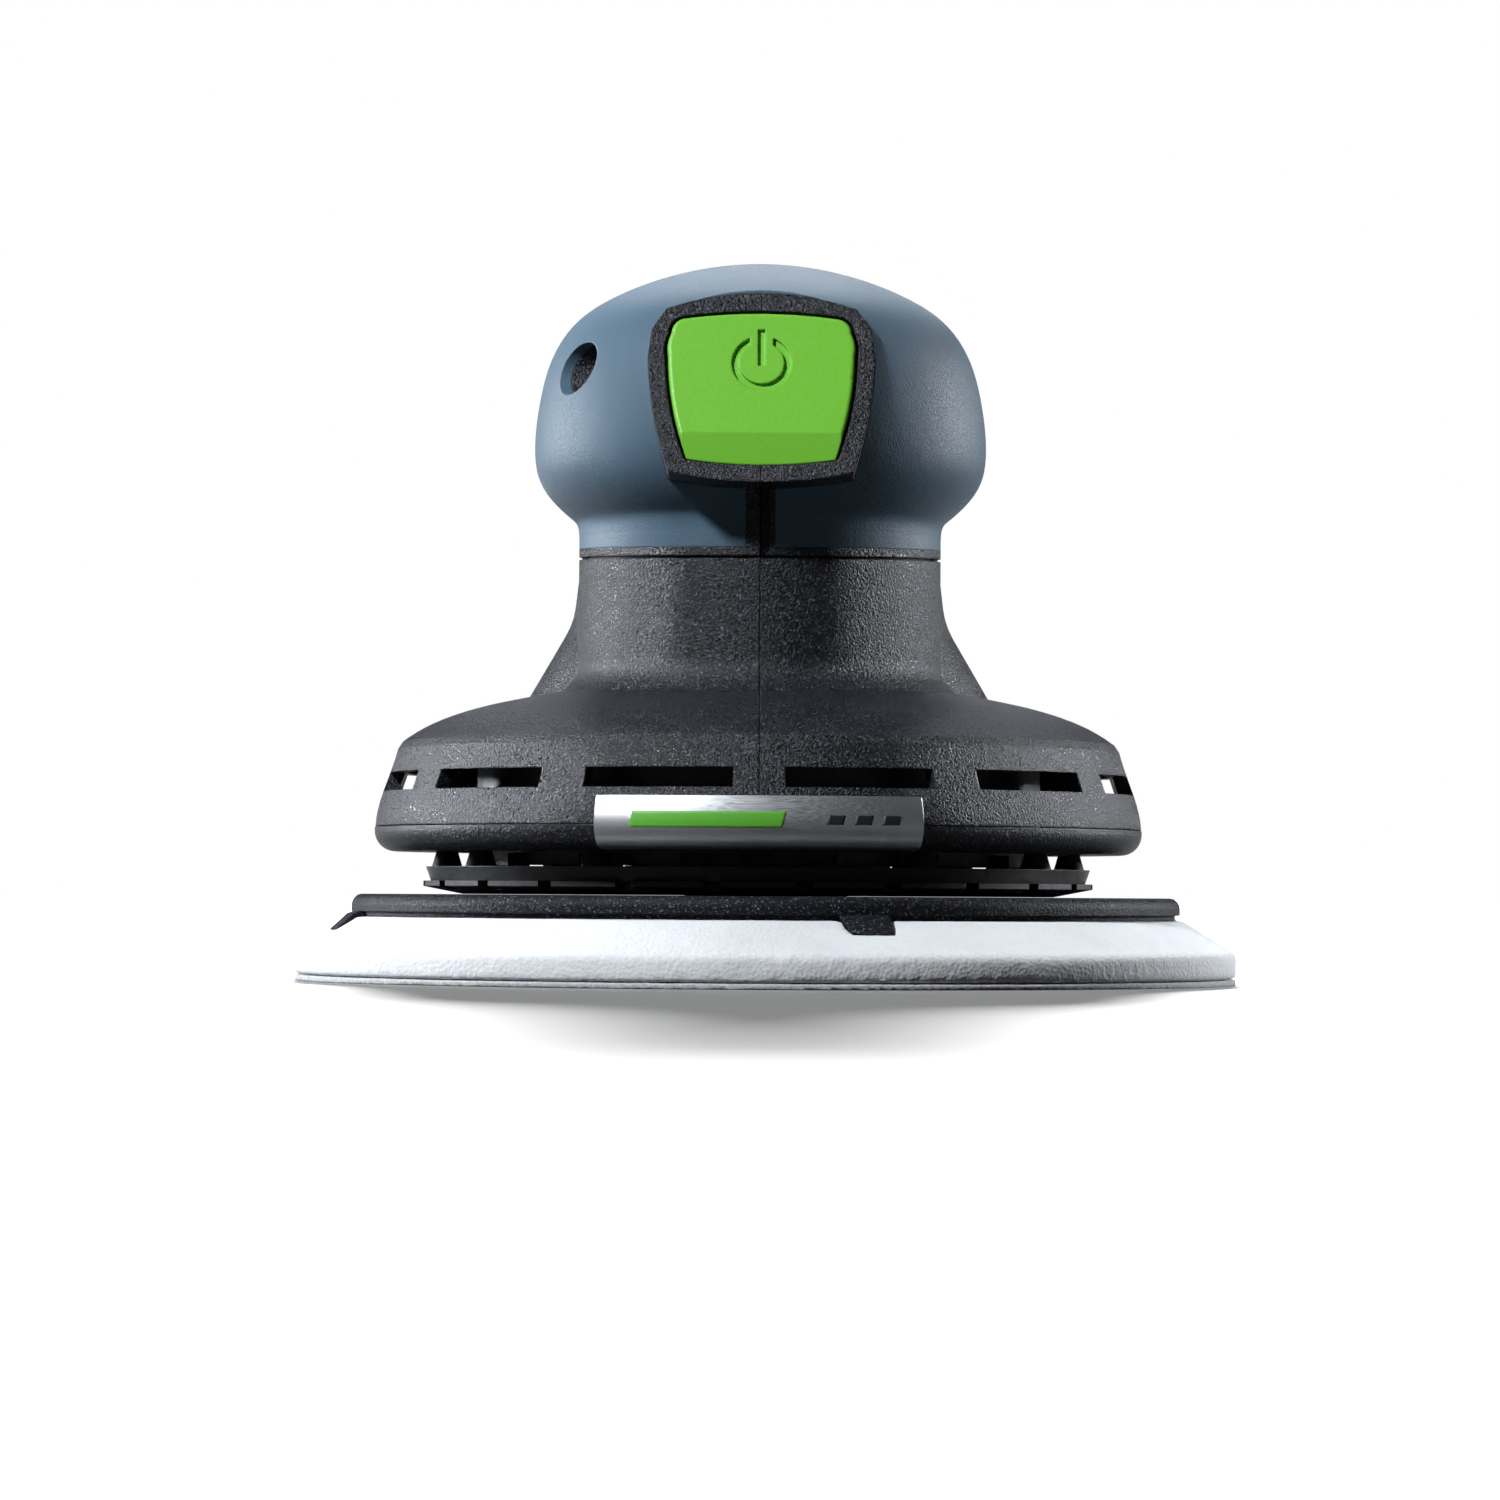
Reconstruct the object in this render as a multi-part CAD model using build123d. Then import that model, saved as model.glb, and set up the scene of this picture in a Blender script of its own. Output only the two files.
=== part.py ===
from build123d import *

import os
from math import asin, atan2, cos, degrees, hypot, pi, radians, sin

# A palm-grip random-orbit sander with a round 150 mm pad and a brushless motor.
# Millimetres. The origin is on the motor axis, in the plane of the sanding face.
# +Z is up, the power button faces -Y, and the tail with the hose port points along +Y.

# ---- Driving dimensions ------------------------------------------------------------------------

PAD_R = 75.0
HEIGHT = 114.4
SKIRT_R = 61.2
NECK_R = 28.85
HEAD_R = 36.0
GRIP_Y = -4.0  # the head and neck stand this far forward of the motor axis
ORBIT_R = 2.5  # half of the 5 mm stroke
ORBIT_ANGLE = radians(-60)  # where the crank throw stands at rest, from +X
ECC = (ORBIT_R * cos(ORBIT_ANGLE), ORBIT_R * sin(ORBIT_ANGLE))

# Heights of the stack, from the floor up.
HOOK_T = 1.0
PLATE_LOW, PLATE_TOP, PLATE_HUB_TOP = 10.2, 13.7, 16.0
CUFF_LOW, CUFF_TOP = 13.76, 15.85
CARRIER_TOP = 18.1
RIM_LOW, RIM_TOP = 20.5, 24.35
SKIRT_LOW = 24.5
SLOT_LOW, SLOT_HIGH = 30.0, 33.0
FLANGE_LOW, FLANGE_TOP = 36.0, 38.4
CORE_LOW, CORE_TOP = 48.0, 65.0
SEAM_Z, SEAM_SLOPE, SEAM_GAP = 67.3, 0.045, 0.45
PARTING_GAP = 0.05  # half the hairline between the left and right shells
BAND_H = 1.3  # hard plastic left bare between the seam and the soft grip

GRIP_T = 1.6  # soft grip layer
GROOVE = 0.9  # depth of the groove down the strip under the button
HEAD_WALL = 2.3
NECK_WALL = 2.3
TAIL_WALL = 3.4
SKIRT_WALL = 2.3
TAIL_END = 98.0
END_WALL = 2.6

# Fan chamber and extraction.
CHAMBER_R, CHAMBER_T = 48.6, 2.0
PORT_Z, PORT_R, PORT_BORE_R, PORT_END = 34.5, 15.0, 13.3, 122.0
PORT_START = 93.0
DUCT_STRAIGHT_END = 63.0
DUCT_HALF_W, DUCT_LOW, DUCT_T = 20.0, 24.8, 1.5

# Power inlet.
INLET_Z, INLET_R, INLET_BORE_R = 61.0, 9.6, 7.8
INLET_START, INLET_END, INLET_FLOOR = 84.0, 112.0, 98.0

# Button and its facet, which leans back from the vertical.
FACET_TILT = 20.0
FACET_POINT = (0, -35.8, 91.5)
BUTTON_TRAVEL = 1.5
BUTTON_PROUD = 1.4
BEZEL_PROUD = 1.0
BUTTON_GAP = 0.5
ACTUATOR_V = -2.0  # the switch sits this far below the button's middle, along the facet

# Speed dial.
DIAL_Y, DIAL_Z, DIAL_R, DIAL_HALF_W = 72.0, 71.0, 11.0, 3.0

# Screws that close the shells, along X: (y, z, x of the head's seat).
HEAD_SCREWS = ((-22.5, 96.0, -17.5), (26.0, 88.5, -17.0))
BODY_SCREWS = ((36.0, 47.0, -20.0), (80.0, 52.2, -15.0))
SCREW_R, SCREW_HEAD_R, SCREW_HEAD_T = 1.45, 3.4, 2.4
RIM_SCREW_R = 54.3
RIM_SCREW_ANGLES = (30, 150, 210, 330)

# Bearings: (bore radius, outer radius, width).
LOWER_BEARING = (5.0, 13.0, 8.0)
UPPER_BEARING = (4.0, 11.0, 7.0)
PAD_BEARING = (6.0, 15.0, 10.0)
LOWER_BEARING_Z, UPPER_BEARING_Z, PAD_BEARING_Z = 37.6, 69.0, 18.6

SLOT_ANGLES = [15 + 30 * k for k in range(12) if abs(15 + 30 * k - 180) > 20]  # from the front
TAB_ANGLES = [13, 103, 193, 283]  # from the front
BIG = 400.0


# ---- Helpers -----------------------------------------------------------------------------------


def disc(radius, low, high, at=(0, 0)):
    """A vertical cylinder between two heights."""
    aligned = (Align.CENTER, Align.CENTER, Align.MIN)
    return Pos(at[0], at[1], low) * Cylinder(radius, high - low, align=aligned)


def ring(outer, inner, low, high, at=(0, 0)):
    """A vertical tube between two heights."""
    return disc(outer, low, high, at) - disc(inner, low, high, at)


def rod_x(radius, x_low, x_high, y, z):
    """A cylinder along X."""
    aligned = (Align.CENTER, Align.CENTER, Align.MIN)
    return Pos(x_low, y, z) * Rot(0, 90, 0) * Cylinder(radius, x_high - x_low, align=aligned)


def rod_y(radius, y_low, y_high, z, x=0.0):
    """A cylinder along Y."""
    aligned = (Align.CENTER, Align.CENTER, Align.MIN)
    return Pos(x, y_low, z) * Rot(-90, 0, 0) * Cylinder(radius, y_high - y_low, align=aligned)


def block(x, y, z):
    """A box from three (low, high) pairs."""
    size = (x[1] - x[0], y[1] - y[0], z[1] - z[0])
    middle = ((x[0] + x[1]) / 2, (y[0] + y[1]) / 2, (z[0] + z[1]) / 2)
    return Pos(*middle) * Box(*size)


def turned(outline, arc=360.0, start=0.0, at=(0, 0)):
    """A closed (radius, height) outline turned about Z, through arc degrees from start."""
    face = Plane.XZ * make_face(Polyline(*outline, close=True))
    return Pos(at[0], at[1], 0) * Rot(0, 0, start) * revolve(face, Axis.Z, revolution_arc=arc)


def turned_wire(wires, at=(0, 0)):
    """A closed loop of (radius, height) curves turned about Z."""
    return Pos(at[0], at[1], 0) * revolve(Plane.XZ * make_face(wires), Axis.Z)


def from_front(angle, shape):
    """Turns a shape made on -Y about Z, towards +X."""
    return Rot(0, 0, angle) * shape


def spread(shape, count, start=0.0):
    """A list of copies evenly round Z."""
    return [Rot(0, 0, start + 360 * k / count) * shape for k in range(count)]


def around_ecc(shape):
    """Moves a shape made on the motor axis to the crank throw's axis."""
    return Pos(ECC[0], ECC[1], 0) * shape


def inward(points, inset):
    """Moves an open profile's points by inset along its normals, inwards if it runs downwards."""
    moved = []
    for i, (r, z) in enumerate(points):
        before = points[max(i - 1, 0)]
        after = points[min(i + 1, len(points) - 1)]
        dr, dz = after[0] - before[0], after[1] - before[1]
        size = hypot(dr, dz)
        normal = (dz / size, -dr / size)
        moved.append((r + normal[0] * inset, z + normal[1] * inset))
    return moved


# ---- The envelope of the housing: one solid per inset -------------------------------------------

# Half of the head's outline, from the crown down to the neck.
HEAD_PROFILE = (
    (0.0, HEIGHT),
    (13.6, 112.6),
    (23.7, 108.8),
    (29.6, 104.8),
    (33.2, 99.5),
    (35.3, 92.0),
    (HEAD_R, 85.2),
    (35.3, 80.0),
    (33.0, 76.4),
    (30.2, 73.8),
    (NECK_R, 70.4),
)


def head_and_neck(head_inset, neck_inset):
    """The head's dome, the neck and its flared foot."""
    points = inward(HEAD_PROFILE, head_inset)
    points[0] = (0.0, HEIGHT - head_inset)
    neck = NECK_R - neck_inset
    points[-1] = (NECK_R - head_inset, points[-1][1])
    crown = Spline(*points, tangents=((1, 0), (0, -1)))
    joint_z = SEAM_Z + 1.0
    step = [points[-1], (points[-1][0], joint_z), (neck, joint_z), (neck, 50.6)]
    side = Polyline(*(step if head_inset != neck_inset else [step[0], step[-1]]))
    flare_end = (36.5 - neck_inset, 43.4)
    flare = Spline((neck, 50.6), (neck + 1.6, 46.9), flare_end, tangents=((0, -1), (1, -0.3)))
    close = Polyline(flare_end, (flare_end[0], 40.0), (0, 40.0), (0, points[0][1]))
    return turned_wire([crown, side, flare, close], at=(0, GRIP_Y))


def skirt(inset, low):
    """The round skirt over the pad."""
    wall = [(SKIRT_R, SKIRT_LOW), (SKIRT_R - 0.3, 26.8), (60.0, 30.0), (57.7, 36.8)]
    roof = [(56.9, 38.0), (53.3, 40.3), (47.7, 42.6), (41.3, 44.3), (33.0, 45.9)]
    wall = inward(wall, -inset)
    roof = inward(roof, -inset)
    wall[0] = (wall[0][0], low)
    rise = Spline(*wall)
    shoulder = Line(wall[-1], roof[0])
    top = Spline(*roof)
    close = Polyline(roof[-1], (0, roof[-1][1]), (0, low), wall[0])
    return turned_wire([rise, shoulder, top, close])


# The tail's sections: y, then (half width, height) at the foot, the waist and the top.
TAIL_SECTIONS = (
    (-6.0, (32.0, 38.0), (25.5, 56.0), (20.0, 100.0)),
    (12.0, (44.0, 34.0), (30.2, 58.0), (24.5, 105.5)),
    (40.0, (38.0, 24.0), (27.0, 59.0), (21.5, 98.0)),
    (68.0, (27.0, 18.6), (22.5, 58.0), (18.0, 84.5)),
    (TAIL_END, (19.5, 16.0), (19.0, 56.0), (15.5, 77.0)),
)
TAIL_RADII = (5.0, 12.0, 11.0)  # corner radii at the foot, the waist and the top


def tail(inset, end):
    """The tail that runs back from the neck, lofted through rounded sections."""
    sections = []
    for y, foot, waist, top in TAIL_SECTIONS:
        foot_w, foot_z = foot[0] - 1.1 * inset, foot[1] + inset
        waist_w = waist[0] - inset
        top_w, top_z = top[0] - inset, top[1] - inset
        right = [(foot_w, foot_z), (waist_w, waist[1]), (top_w, top_z)]
        left = [(-w, z) for w, z in reversed(right)]
        face = make_face(Polyline(*right, *left, close=True))
        for index, radius in enumerate(TAIL_RADII):
            height = right[index][1]
            corners = [v for v in face.vertices() if abs(v.Y - height) < 1e-6]
            face = fillet(corners, radius - inset * 0.6)
        place = Plane(origin=(0, min(y, end), 0), x_dir=(1, 0, 0), z_dir=(0, -1, 0))
        sections.append(place * face)
    return loft(sections)


def facet_plane(depth):
    """The button's plane, sunk by depth. Its normal points out of the machine."""
    tilt = radians(FACET_TILT)
    normal = (0, -cos(tilt), sin(tilt))
    origin = [p - n * depth for p, n in zip(FACET_POINT, normal)]
    return Plane(origin=origin, x_dir=(1, 0, 0), z_dir=normal)


def facet_cut(depth):
    """Everything in front of the button's plane, above the neck."""
    aligned = (Align.CENTER, Align.CENTER, Align.MIN)
    ahead = facet_plane(depth) * Box(80, 60, 40, align=aligned)
    return ahead - block((-60, 60), (-90, 90), (0, 74))


def above_seam(rise):
    """Everything above the sloping seam between the body and the head."""
    tilt = degrees(atan2(SEAM_SLOPE, 1))
    aligned = (Align.CENTER, Align.CENTER, Align.MIN)
    return Pos(0, 0, SEAM_Z + rise) * Rot(tilt, 0, 0) * Box(BIG, BIG, BIG, align=aligned)


# ---- Button outlines, in the facet's own plane --------------------------------------------------


def button_outline(grow=0.0):
    """The button's face: a low arc at the top and the bottom, and sides that draw in below."""
    corners = ((11.4, -11.8), (14.4, 5.4), (13.9, 9.2), (11.9, 11.7))
    low, wide, high, top = corners
    right = [
        ThreePointArc(low, (13.75, -2.5), wide),
        ThreePointArc(wide, (14.45, 7.4), high),
        ThreePointArc(high, (13.3, 10.9), top),
    ]
    mirrored = [mirror(edge, about=Plane.YZ) for edge in right]
    over = ThreePointArc(top, (0, 12.6), (-top[0], top[1]))
    under = ThreePointArc(low, (0, -12.6), (-low[0], low[1]))
    face = make_face([*right, over, *mirrored, under])
    return offset(face, amount=grow) if grow else face


def bezel_outline():
    """The frame round the button: a rounded six-sided shape."""
    right = [(14.2, -14.2), (16.2, -6.3), (17.5, 5.5), (16.9, 10.0), (14.7, 13.4)]
    low, waist, wide, high, top = right
    edges = [
        ThreePointArc(low, waist, wide),
        Line(wide, high),
        Line(high, top),
    ]
    mirrored = [mirror(edge, about=Plane.YZ) for edge in edges]
    over = ThreePointArc(top, (0, 16.2), (-top[0], top[1]))
    under = ThreePointArc(low, (0, -15.9), (-low[0], low[1]))
    return make_face([*edges, over, *mirrored, under])


def prism(face, low, high, depth=0.0):
    """Extrudes a face of the facet's plane between two heights above that plane."""
    return facet_plane(depth - low) * extrude(face, amount=high - low)


def bezel_block(low, high):
    """The frame's block, with an underside that runs back almost level from its lower edge."""
    front = facet_plane(-BEZEL_PROUD) * bezel_outline()
    level = extrude(front, amount=16, dir=(0, 1, -0.12), both=True)
    return prism(bezel_outline(), low, high) & level


def lip_outline(grow, foot):
    """The button's outline grown at its top and sides only, down to foot."""
    return button_outline(grow) & (Pos(0, foot + 20) * Rectangle(60, 40))


# ---- Housing shells ----------------------------------------------------------------------------


def screw_bosses(places, outer):
    """Posts along X that the closing screws run through, kept inside the housing."""
    posts = []
    for y, z, seat in places:
        posts.append(rod_x(3.6, seat - 2, 34, y, z))
        posts.append(rod_x(5.4, -60, seat + 1.5, y, z))
        posts.append(rod_x(4.6, 26, 60, y, z))
    return [post & outer for post in posts]


def screw_holes(places):
    """The access hole, the clearance hole and the pilot hole of each closing screw."""
    holes = []
    for y, z, seat in places:
        holes.append(rod_x(4.1, -60, seat, y, z))
        holes.append(rod_x(SCREW_R + 0.2, seat - 1, 0, y, z))
        holes.append(rod_x(SCREW_R + 0.02, -0.5, 12.5, y, z))
    return holes


def closing_screws(places):
    """The screws themselves, each with a six-lobe drive shown as a hexagon."""
    screws = []
    for y, z, seat in places:
        head = rod_x(SCREW_HEAD_R, seat - SCREW_HEAD_T, seat, y, z)
        drive = extrude(RegularPolygon(1.7, 6), amount=1.5)
        head -= Pos(seat - SCREW_HEAD_T, y, z) * Rot(0, 90, 0) * drive
        screws.append(head + rod_x(SCREW_R, seat, 12.0, y, z))
    return screws


def vent_slots():
    """The cooling slots round the skirt."""
    width = 22.5
    outline = [(50, SLOT_LOW), (66, SLOT_LOW), (66, SLOT_HIGH), (50, SLOT_HIGH)]
    slot = turned(outline, arc=width, start=-90 - width / 2)
    return [from_front(angle, slot) for angle in SLOT_ANGLES]


def rim_bosses():
    """Posts in the skirt for the rim's screws."""
    post = disc(3.4, RIM_LOW + 2.1, 39.5, at=(RIM_SCREW_R, 0))
    hole = disc(1.3, RIM_LOW, 32.6, at=(RIM_SCREW_R, 0))
    posts = [Rot(0, 0, a) * post for a in RIM_SCREW_ANGLES]
    holes = [Rot(0, 0, a) * hole for a in RIM_SCREW_ANGLES]
    return posts, holes


def dial_window():
    """The slot in the tail's top that the dial stands through."""
    return block((-3.7, 3.7), (DIAL_Y - 10.5, DIAL_Y + 10.5), (DIAL_Z, DIAL_Z + 20))


def badge():
    """The bare plate on the skirt's front, bent round it and under the rim."""
    face = Spline((60.6, 21.1), (61.7, 22.8), (62.0, 24.7), (61.7, 26.8), (61.1, 28.7))
    back = Polyline((61.1, 28.7), (60.2, 28.7), (60.2, 22.0), (58.6, 21.6), (58.9, 20.6), (60.6, 21.1))
    half = degrees(asin(24.4 / SKIRT_R))
    section = Plane.XZ * make_face([face, back])
    return Rot(0, 0, -90 - half) * revolve(section, Axis.Z, revolution_arc=2 * half)


def halves(shape):
    """The part on -X and the part on +X, with a hairline between them."""
    left = shape & block((-BIG, -PARTING_GAP), (-BIG, BIG), (-BIG, BIG))
    right = shape & block((PARTING_GAP, BIG), (-BIG, BIG), (-BIG, BIG))
    return left, right


def housing_shells(plate):
    """The grip, the head's halves, the body's halves and the gasket in the seam."""
    head_out = head_and_neck(0, 0)
    tail_out = tail(0, TAIL_END)
    outer = head_out + tail_out + skirt(0, SKIRT_LOW) - facet_cut(0)
    inset = GRIP_T + HEAD_WALL
    tail_in = tail(TAIL_WALL, TAIL_END - END_WALL)
    inner = head_and_neck(inset, NECK_WALL) + tail_in + skirt(SKIRT_WALL, SKIRT_LOW - 5)
    inner = inner - facet_cut(inset) + disc(26.35, 40, 71)
    middle = head_and_neck(GRIP_T, GRIP_T) + tail(GRIP_T, TAIL_END - GRIP_T) - facet_cut(GRIP_T)

    upper = outer & above_seam(SEAM_GAP)
    strip = prism(Pos(0, -20) * Rectangle(4.6, 20), -12, 8)
    strip += block((-2.3, 2.3), (-50, -20), (SEAM_Z - 5, 80))
    window = bezel_block(-9, 8)
    grip = (outer & above_seam(SEAM_GAP + BAND_H)) - middle - window - strip
    grip -= [*screw_holes(HEAD_SCREWS), dial_window()]

    opening = prism(button_outline(BUTTON_GAP), -12, 8)
    pocket = prism(lip_outline(1.5, -11.6), -9, -3.4)
    frame = bezel_block(-9, BEZEL_PROUD) - opening
    head = upper - grip - inner
    head += [*screw_bosses(HEAD_SCREWS, middle & upper), frame]
    head -= grip
    groove = block((-0.1, 1.5), (-50, -20), (SEAM_Z - 5, 80)) - window
    groove -= head_and_neck(GROOVE, GROOVE)
    head -= [*screw_holes(HEAD_SCREWS), opening, pocket, dial_window(), switch_carrier_blank()]
    head -= groove

    rim_posts, rim_holes = rim_bosses()
    body = outer - above_seam(0) - inner
    posts = [post & outer for post in rim_posts]
    body += [*screw_bosses(BODY_SCREWS, outer - above_seam(0)), *posts]
    body -= [*screw_holes(BODY_SCREWS), *rim_holes, *vent_slots(), plate]
    body -= disc(SKIRT_R + 0.4, 0, SKIRT_LOW)
    body -= [rod_y(PORT_R, 80, 110, PORT_Z), rod_y(INLET_R + 1.0, 80, 110, INLET_Z)]

    gasket = (middle & above_seam(0)) - above_seam(SEAM_GAP) - inner
    return grip, halves(head), halves(body), gasket


def skirt_rim(plate):
    """The rounded rim that closes the skirt from below."""
    corner = (57.9, RIM_LOW)
    outline = [
        Line((49.2, RIM_LOW), corner),
        ThreePointArc(corner, (60.35, 21.45), (61.3, 23.6)),
        Polyline((61.3, 23.6), (61.3, RIM_TOP), (58.6, RIM_TOP), (58.6, 22.6), (49.2, 22.6)),
        Line((49.2, 22.6), (49.2, RIM_LOW)),
    ]
    rim = turned_wire(outline) - plate
    for angle in RIM_SCREW_ANGLES:
        rim -= Rot(0, 0, angle) * disc(1.7, RIM_LOW, 22.6, at=(RIM_SCREW_R, 0))
        rim -= Rot(0, 0, angle) * disc(2.9, RIM_LOW, RIM_LOW + 1.2, at=(RIM_SCREW_R, 0))
    return rim


def rim_screws():
    """Four short screws that hold the rim to the skirt's posts."""
    head = disc(2.8, RIM_LOW + 0.1, RIM_LOW + 1.2, at=(RIM_SCREW_R, 0))
    shank = disc(1.25, RIM_LOW + 1.2, 31.5, at=(RIM_SCREW_R, 0))
    drive = Pos(RIM_SCREW_R, 0, RIM_LOW + 0.1) * extrude(RegularPolygon(1.2, 6), amount=0.7)
    return [Rot(0, 0, a) * (head + shank - drive) for a in RIM_SCREW_ANGLES]


# ---- Button, switch and dial --------------------------------------------------------------------


def power_button():
    """A hollow cap with a retaining flange, a stem and a power symbol sunk in its face."""
    cap = prism(button_outline(), -5.2, BUTTON_PROUD)
    cap = fillet(cap.faces().sort_by(Axis((0, 0, 0), facet_plane(0).z_dir))[-1].edges(), 0.6)
    flange = prism(lip_outline(1.1, -11.2), -4.7, -3.5)
    hollow = prism(button_outline(-1.4), -5.2, BUTTON_PROUD - 1.7)
    stem = prism(Pos(0, ACTUATOR_V) * Circle(2.2), -7.0, BUTTON_PROUD - 1.7)
    symbol_v = 4.0
    mark = Circle(4.6) - Circle(3.5) - Pos(0, 4) * Rectangle(3.6, 5)
    mark += Pos(0, 2.6) * Rectangle(1.1, 6.2)
    symbol = prism(Pos(0, symbol_v) * mark, BUTTON_PROUD - 0.55, BUTTON_PROUD + 1)
    low_facet = facet_plane(-BUTTON_PROUD) * Pos(0, -7.8, 0) * Rot(16, 0, 0)
    aligned = (Align.CENTER, Align.MAX, Align.MIN)
    chin = low_facet * Box(40, 12, 6, align=aligned)
    return cap - chin + flange - hollow + stem - symbol


def switch_carrier_blank():
    """The bar across the head that the switch sits on."""
    return prism(Pos(0, ACTUATOR_V) * Rectangle(51.6, 12.4), -13.6, -11.5)


def switch_parts():
    """The carrier, the push switch, its plunger and the button's return spring."""
    head_inside = head_and_neck(GRIP_T + 0.9, NECK_WALL)
    carrier = switch_carrier_blank() & head_inside
    place = Pos(0, ACTUATOR_V)
    body = prism(place * Rectangle(7, 7), -11.5, -8.7)
    body -= prism(place * Circle(1.8), -11.4, -8.7)
    plunger = prism(place * Circle(1.7), -9.8, -7.0)
    wire, coil = 0.35, 6.2
    low, high = -11.5 + wire, BUTTON_PROUD - 1.7 - wire
    base = facet_plane(-low) * place
    path = Helix(pitch=(high - low) / 5, height=high - low, radius=coil)
    section = Plane(origin=path @ 0, z_dir=path % 0) * Circle(wire)
    spring = base * sweep(section, path=path)
    return carrier, body, plunger, spring


def speed_dial():
    """A ribbed thumbwheel on a thin shaft."""
    wheel = rod_x(DIAL_R - 0.5, -DIAL_HALF_W, DIAL_HALF_W, DIAL_Y, DIAL_Z)
    ribs = []
    count = 24
    for k in range(count):
        a = 2 * pi * k / count
        y = DIAL_Y + (DIAL_R - 0.6) * cos(a)
        z = DIAL_Z + (DIAL_R - 0.6) * sin(a)
        ribs.append(rod_x(0.6, -DIAL_HALF_W, DIAL_HALF_W, y, z))
    wheel = wheel + ribs - rod_x(1.5, -5, 5, DIAL_Y, DIAL_Z)
    shaft = rod_x(1.5, -8.4, 8.4, DIAL_Y, DIAL_Z)
    return wheel, shaft


def dial_bracket():
    """A fork that carries the dial's shaft, with the potentiometer on one side."""
    y = (DIAL_Y - 5.5, DIAL_Y + 6.0)
    base = block((-9, 9), y, (58.2, 59.5))
    ears = [block((4.2, 9), y, (59.5, 75)), block((-9, -4.2), y, (59.5, 75))]
    return base + ears - rod_x(1.55, -8.6, 8.6, DIAL_Y, DIAL_Z)


# ---- Motor -------------------------------------------------------------------------------------


def bearing(sizes, low, count, rows=1):
    """A ball bearing on the motor axis: (inner ring, outer ring, balls)."""
    bore, outside, width = sizes
    pitch = (bore + outside) / 2
    ball = 0.27 * (outside - bore) if rows == 1 else 0.21 * (outside - bore)
    inner = ring(pitch - 0.6 * ball, bore, low, low + width)
    outer = ring(outside, pitch + 0.6 * ball, low, low + width)
    balls = []
    for row in range(rows):
        z = low + width * (row + 0.5) / rows
        groove = Pos(0, 0, z) * Torus(pitch, ball + 0.02)
        inner -= groove
        outer -= groove
        balls += spread(Pos(pitch, 0, z) * Sphere(ball), count, start=row * 180 / count)
    return inner, outer, balls


def stator():
    """The laminated core with nine teeth, and a coil on each tooth."""
    teeth = 9
    core = ring(26.0, 22.8, CORE_LOW, CORE_TOP)
    tooth = block((17.2, 23.2), (-2.5, 2.5), (CORE_LOW, CORE_TOP))
    shoe_arc = 31
    shoe_outline = [(16.6, CORE_LOW), (18.0, CORE_LOW), (18.0, CORE_TOP), (16.6, CORE_TOP)]
    shoe = turned(shoe_outline, arc=shoe_arc, start=-shoe_arc / 2)
    core += spread(tooth + shoe, teeth)
    coil = block((18.3, 22.2), (-4.3, 4.3), (CORE_LOW - 2, CORE_TOP + 2))
    coil -= block((18, 23), (-2.6, 2.6), (CORE_LOW - 0.1, CORE_TOP + 0.1))
    vertical = coil.edges().filter_by(Axis.X)
    coil = fillet(vertical.sort_by(lambda e: -abs(e.center().Y))[:4], 1.6)
    return core, spread(coil, teeth)


def motor_flange():
    """The cast plate under the motor that seats the lower bearing and the stator."""
    bore, outside, width = LOWER_BEARING
    seat_top = LOWER_BEARING_Z + width
    plate = disc(CHAMBER_R, FLANGE_LOW, FLANGE_TOP) + disc(16.2, FLANGE_TOP, seat_top + 1.2)
    plate += ring(26.2, 23.7, FLANGE_TOP, CORE_LOW)
    plate -= disc(10.5, FLANGE_LOW, LOWER_BEARING_Z)
    plate -= disc(outside, LOWER_BEARING_Z, seat_top)
    plate -= disc(6.4, seat_top, seat_top + 2)
    vent = block((19.0, 30.0), (-4, 4), (39.6, 45.0))
    return plate - spread(vent, 6, start=30)


def top_bracket():
    """The upper end shield: bearing seat, vents and three posts for the control board."""
    outside, width = UPPER_BEARING[1:]
    seat_top = UPPER_BEARING_Z + width
    shield = ring(26.2, 23.7, CORE_TOP, 67.6) + disc(26.2, 67.6, UPPER_BEARING_Z)
    shield += disc(13.4, UPPER_BEARING_Z, seat_top + 1.4)
    shield -= disc(outside, UPPER_BEARING_Z, seat_top)
    shield -= [disc(6.0, 67.0, UPPER_BEARING_Z), disc(5.0, seat_top, seat_top + 2)]
    shield -= spread(disc(2.6, 67.0, 69.5, at=(19.5, 0)), 9, start=20)
    return shield + spread(disc(2.0, UPPER_BEARING_Z, 84.0, at=(16.2, 0)), 3, start=90)


def rotor_parts():
    """The shaft, the rotor's core and its eight magnets."""
    shaft = disc(5.0, 31.2, 45.6) + disc(5.5, 45.6, 68.4) + disc(4.0, 68.4, 77.4)
    core = ring(14.0, 5.5, CORE_LOW, CORE_TOP)
    outline = [(14.0, CORE_LOW), (16.0, CORE_LOW), (16.0, CORE_TOP), (14.0, CORE_TOP)]
    magnet = turned(outline, arc=38, start=-19)
    return shaft, core, spread(magnet, 8)


# ---- Drive end ---------------------------------------------------------------------------------


def eccentric_hub():
    """The crank: a socket on the motor shaft and an offset cup round the pad bearing."""
    cup = disc(18.5, 17.0, 33.0, at=ECC) + disc(24.0, 31.0, 33.0) + disc(9.0, 33.0, 37.2)
    cup -= disc(PAD_BEARING[1], 17.0, 28.8, at=ECC)
    cup -= disc(PAD_BEARING[1] + 0.7, 17.3, 18.5, at=ECC)
    cup -= disc(11.0, 28.8, 30.6, at=ECC)
    return cup - disc(5.0, 31.2, 37.2)


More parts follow.
